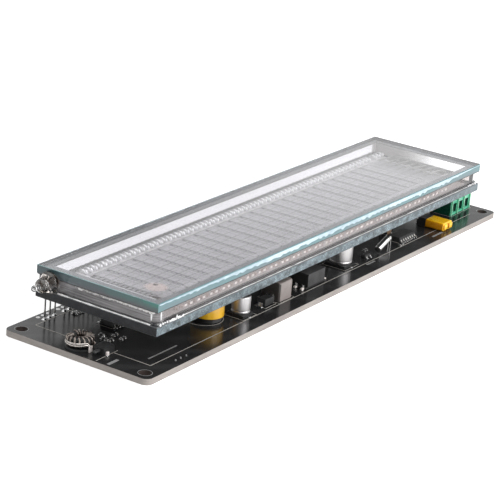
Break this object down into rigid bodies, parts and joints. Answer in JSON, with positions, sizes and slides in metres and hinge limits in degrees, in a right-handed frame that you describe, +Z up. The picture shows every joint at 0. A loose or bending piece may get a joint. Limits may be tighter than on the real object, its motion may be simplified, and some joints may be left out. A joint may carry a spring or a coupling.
{
  "type": "vacuum fluorescent audio spectrum analyzer display module",
  "caption": "Flat glass vacuum display of bar columns, carried on a row of leads over a long black circuit board with its parts, terminal block and menu button.",
  "frame": {"origin": "middle of the circuit board's flat underside", "axes": "+Z up through the glass, +X along the board to its terminal block end, +Y to the long edge where the leads stand"},
  "size_m": [0.18, 0.045, 0.0179],
  "materials": {
    "board_mask": "gloss black solder mask over glass fibre board",
    "cover_glass": "clear cut glass with green edges",
    "base_glass": "glass with a dark printed layer, blue-grey cut edge",
    "wall_glass": "clear glass frame",
    "frit": "grey fused sealing glass",
    "exhaust_glass": "melted glass, smoky",
    "lead_metal": "tinned nickel-iron strip",
    "solder": "bright solder",
    "anode_layer": "grey insulating layer with pale segments",
    "grid_metal": "etched steel",
    "filament": "coated tungsten wire",
    "support_metal": "bright steel spring sheet",
    "getter": "fired steel channel",
    "tin": "tin plate",
    "black_plastic": "fine matt moulding",
    "plunger_plastic": "satin moulding",
    "ferrite": "matt sintered ferrite",
    "winding_wire": "enamelled copper",
    "tape_yellow": "glossy film tape",
    "can_aluminium": "drawn aluminium",
    "choke_powder": "pressed grey-brown powder",
    "bobbin": "matt bobbin moulding",
    "crystal_metal": "bright drawn can",
    "ceramic_tan": "fired ceramic",
    "resistor_black": "glazed film",
    "jumper_yellow": "glossy yellow moulding",
    "terminal_green": "glossy green moulding",
    "clamp_metal": "plated steel"
  },
  "bodies": {
    "display": {"circuit_board": "board_mask", "base_glass": "base_glass", "cover_glass": "cover_glass", "side_wall_frame": "wall_glass", "lower_frit_seal": "frit", "upper_frit_seal": "frit", "exhaust_tube": "exhaust_glass", "lead_frame": "lead_metal", "lead_solder_joints": "solder", "anode_plate": "anode_layer", "control_grids": "grid_metal", "filaments": "filament", "filament_anchor": "support_metal", "filament_springs": "support_metal", "getter_ring": "getter", "menu_switch_body": "black_plastic", "menu_switch_dome": "support_metal", "menu_switch_pins": "tin", "toroid_base": "black_plastic", "toroid_core": "ferrite", "toroid_winding": "winding_wire", "toroid_clips": "tin", "drum_core": "ferrite", "drum_winding": "winding_wire", "drum_tape": "tape_yellow", "drum_pins": "tin", "small_capacitor_can": "can_aluminium", "small_capacitor_base": "black_plastic", "large_capacitor_can": "can_aluminium", "large_capacitor_base": "black_plastic", "capacitor_tabs": "tin", "choke_body": "choke_powder", "choke_tabs": "tin", "transformer_core": "ferrite", "transformer_coil": "winding_wire", "transformer_deck": "bobbin", "transformer_pins": "tin", "diode_body": "black_plastic", "diode_leads": "tin", "transistor_body": "black_plastic", "transistor_leads": "tin", "crystal_can": "crystal_metal", "crystal_leads": "tin", "logic_chip": "black_plastic", "amplifier_chip": "black_plastic", "small_outline_leads": "tin", "controller_chip": "black_plastic", "driver_chips": "black_plastic", "ceramic_capacitor": "ceramic_tan", "chip_bodies": "resistor_black", "chip_terminals": "tin", "jumper_cap": "jumper_yellow", "header_block": "black_plastic", "header_pins": "tin", "terminal_block": "terminal_green", "terminal_clamps": "clamp_metal", "terminal_screws": "clamp_metal"},
    "menu_button": {"menu_plunger": "plunger_plastic"}
  },
  "joints": [
    {"name": "menu_press", "type": "slide", "parent": "display", "child": "menu_button", "axis": [1, 0, 0], "range_m": [0, 0.00025], "stiffness_N_per_m": 6000}
  ]
}
